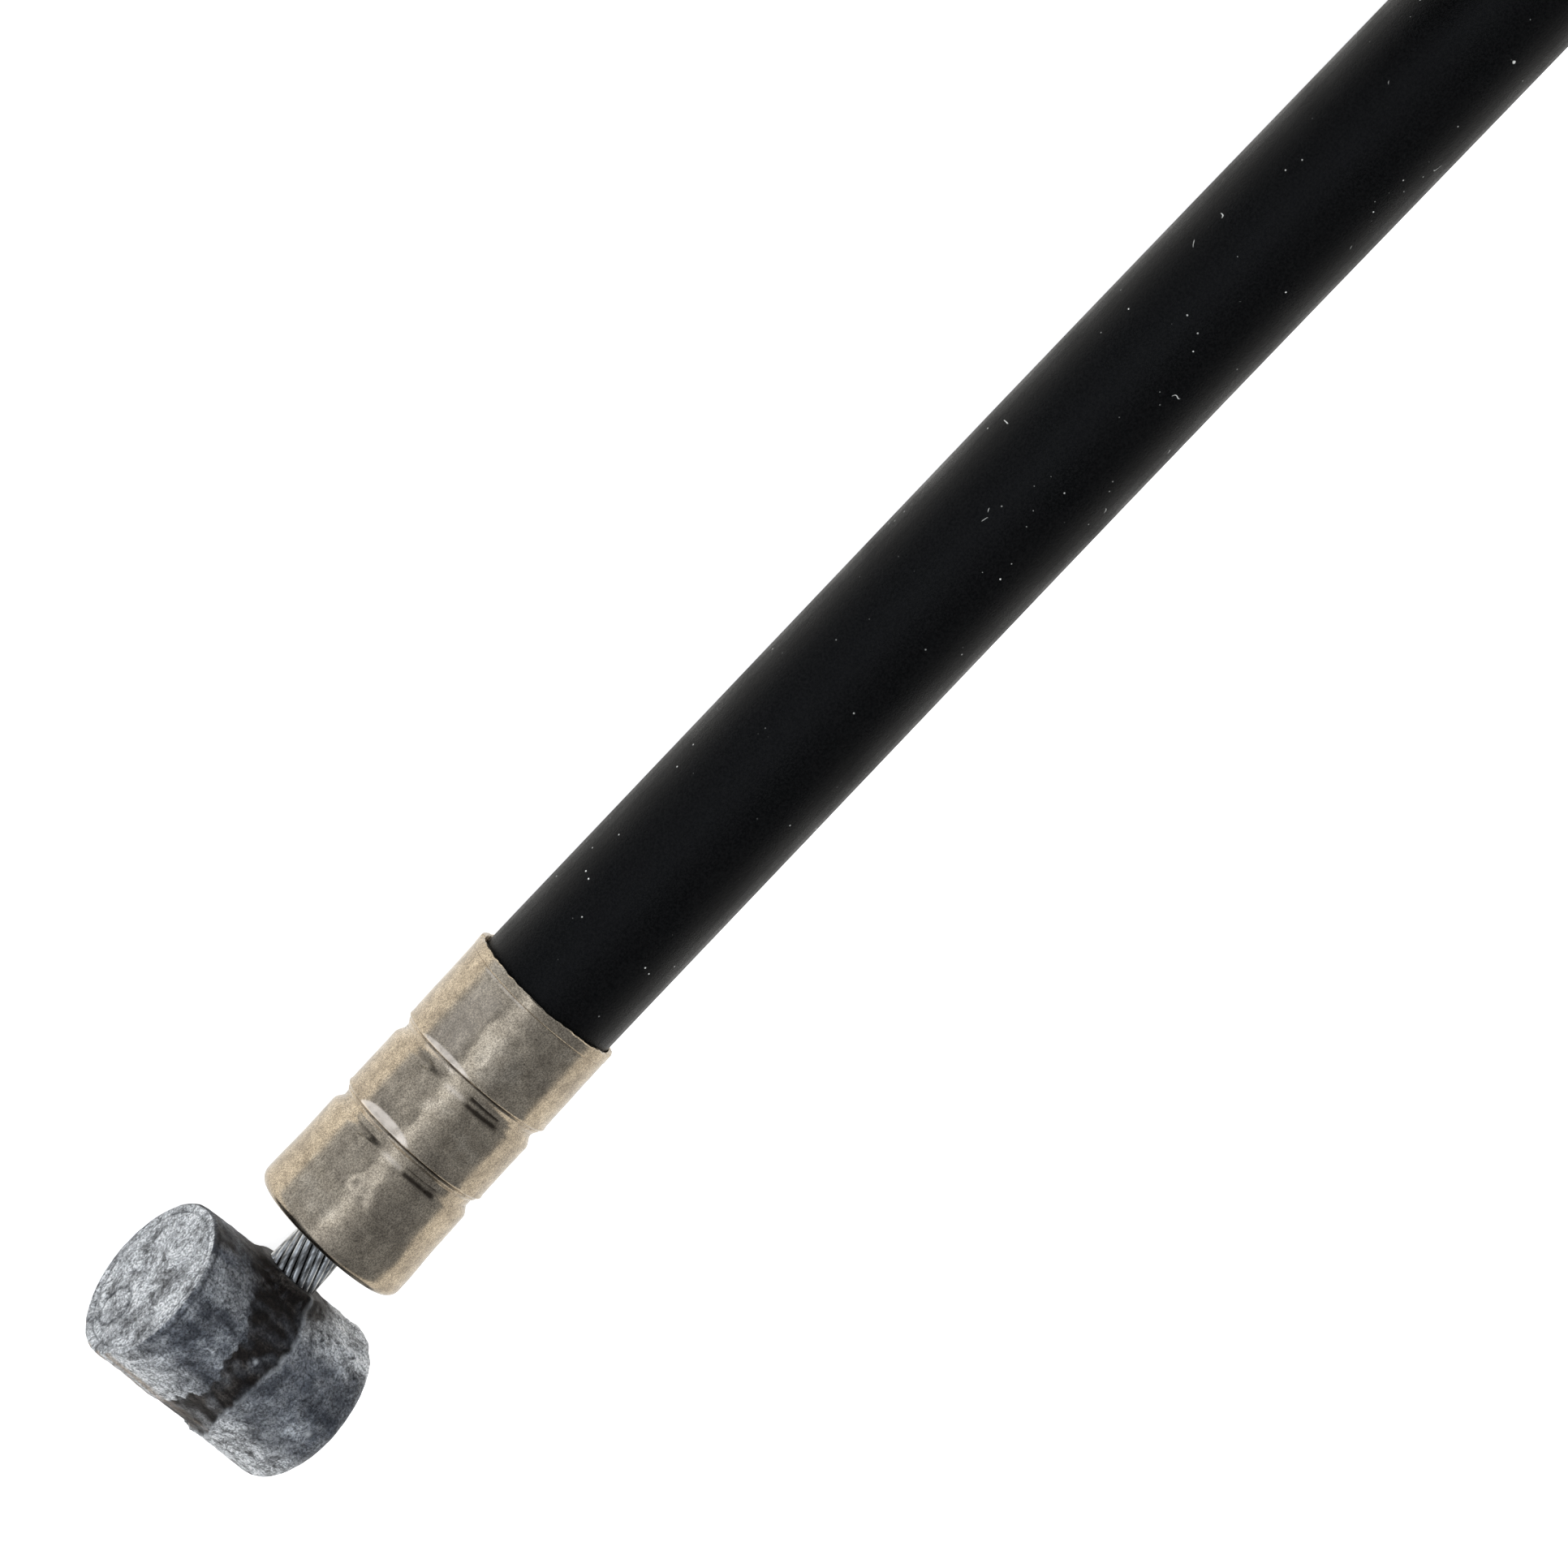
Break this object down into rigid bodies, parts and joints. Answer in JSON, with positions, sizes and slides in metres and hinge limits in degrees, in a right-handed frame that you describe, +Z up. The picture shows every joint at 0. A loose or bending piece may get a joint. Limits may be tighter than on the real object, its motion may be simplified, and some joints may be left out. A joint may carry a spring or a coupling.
{
  "type": "control cable",
  "caption": "Coiled control cable with a crosswise barrel nipple and crimped ferrule at the lever end, and a threaded adjuster, bellows boot and barrel nipple at the brake end.",
  "frame": {"origin": "middle of the lever ferrule's end face, on the cable's axis, where the ferrule seats", "axes": "+X along the cable from the lever nipple into the housing, Y along the barrel nipple with its gate face at +Y, +Z up from the surface that the cable lies on"},
  "size_m": [0.1836, 0.104, 0.0157],
  "materials": {
    "cast_zinc": "rough zinc die casting, mottled grey with a darker parting band",
    "wire_steel": "bright drawn galvanised wire",
    "ferrule_plate": "thin pressed steel with warm nickel plating, lightly dented",
    "jacket_vinyl": "extruded black vinyl with a soft satin sheen",
    "armour_steel": "flat wound steel wire",
    "liner_nylon": "translucent natural nylon tube",
    "tie_nylon": "white vinyl coated twist tie",
    "adjuster_zinc_plate": "bright zinc plated turned steel",
    "washer_steel": "zinc plated spring steel",
    "nut_plate": "zinc plated steel with machining lines",
    "boot_rubber": "moulded black rubber"
  },
  "bodies": {
    "housing": {"lever_ferrule": "ferrule_plate", "housing_jacket": "jacket_vinyl", "housing_armour": "armour_steel", "housing_liner": "liner_nylon", "housing_coil": "jacket_vinyl", "housing_tail": "jacket_vinyl", "coil_tie_near": "tie_nylon", "coil_tie_far": "tie_nylon", "adjuster_body": "adjuster_zinc_plate", "adjuster_liner": "liner_nylon", "dust_boot": "boot_rubber"},
    "lever_core": {"lever_wire_core": "wire_steel"},
    "lever_end": {"lever_nipple": "cast_zinc", "lever_wire_inner_strands": "wire_steel", "lever_wire_middle_strands": "wire_steel", "lever_wire_outer_strands": "wire_steel"},
    "brake_core": {"brake_wire_core": "wire_steel"},
    "brake_end": {"brake_nipple": "cast_zinc", "brake_wire_inner_strands": "wire_steel", "brake_wire_middle_strands": "wire_steel", "brake_wire_outer_strands": "wire_steel"},
    "washer_inner": {"lock_washer_inner": "washer_steel"},
    "nut_inner": {"adjuster_nut_inner": "nut_plate"},
    "washer_outer": {"lock_washer_outer": "washer_steel"},
    "nut_outer": {"adjuster_nut_outer": "nut_plate"}
  },
  "joints": [
    {"name": "lever_wire_pull", "type": "slide", "parent": "housing", "child": "lever_core", "axis": [-1, 0, 0], "range_m": [-0.002, 0.02]},
    {"name": "lever_nipple_twist", "type": "hinge", "parent": "lever_core", "child": "lever_end", "pos_m": [-0.0064, 0, 0], "axis": [1, 0, 0], "range_deg": [-90, 90]},
    {"name": "brake_wire_pull", "type": "slide", "parent": "housing", "child": "brake_core", "axis": [1, 0, 0], "range_m": [-0.002, 0.02]},
    {"name": "brake_nipple_twist", "type": "hinge", "parent": "brake_core", "child": "brake_end", "pos_m": [-0.016, 0.092, 0.003], "axis": [1, 0, 0], "range_deg": [-90, 90]},
    {"name": "washer_inner_travel", "type": "slide", "parent": "housing", "child": "washer_inner", "axis": [1, 0, 0], "range_m": [-0.00176, 0.0044]},
    {"name": "nut_inner_turn", "type": "hinge", "parent": "washer_inner", "child": "nut_inner", "pos_m": [0.0513, 0.092, 0.003], "axis": [1, 0, 0], "range_deg": [-504, 1260]},
    {"name": "washer_outer_travel", "type": "slide", "parent": "housing", "child": "washer_outer", "axis": [1, 0, 0], "range_m": [-0.0044, 0.00176]},
    {"name": "nut_outer_turn", "type": "hinge", "parent": "washer_outer", "child": "nut_outer", "pos_m": [0.0407, 0.092, 0.003], "axis": [1, 0, 0], "range_deg": [-1260, 504]}
  ],
  "couplings": [
    {"joint": "brake_wire_pull", "follows": "lever_wire_pull", "ratio": 1},
    {"joint": "washer_inner_travel", "follows": "nut_inner_turn", "m_per_rad": 0.00019894},
    {"joint": "washer_outer_travel", "follows": "nut_outer_turn", "m_per_rad": 0.00019894}
  ]
}
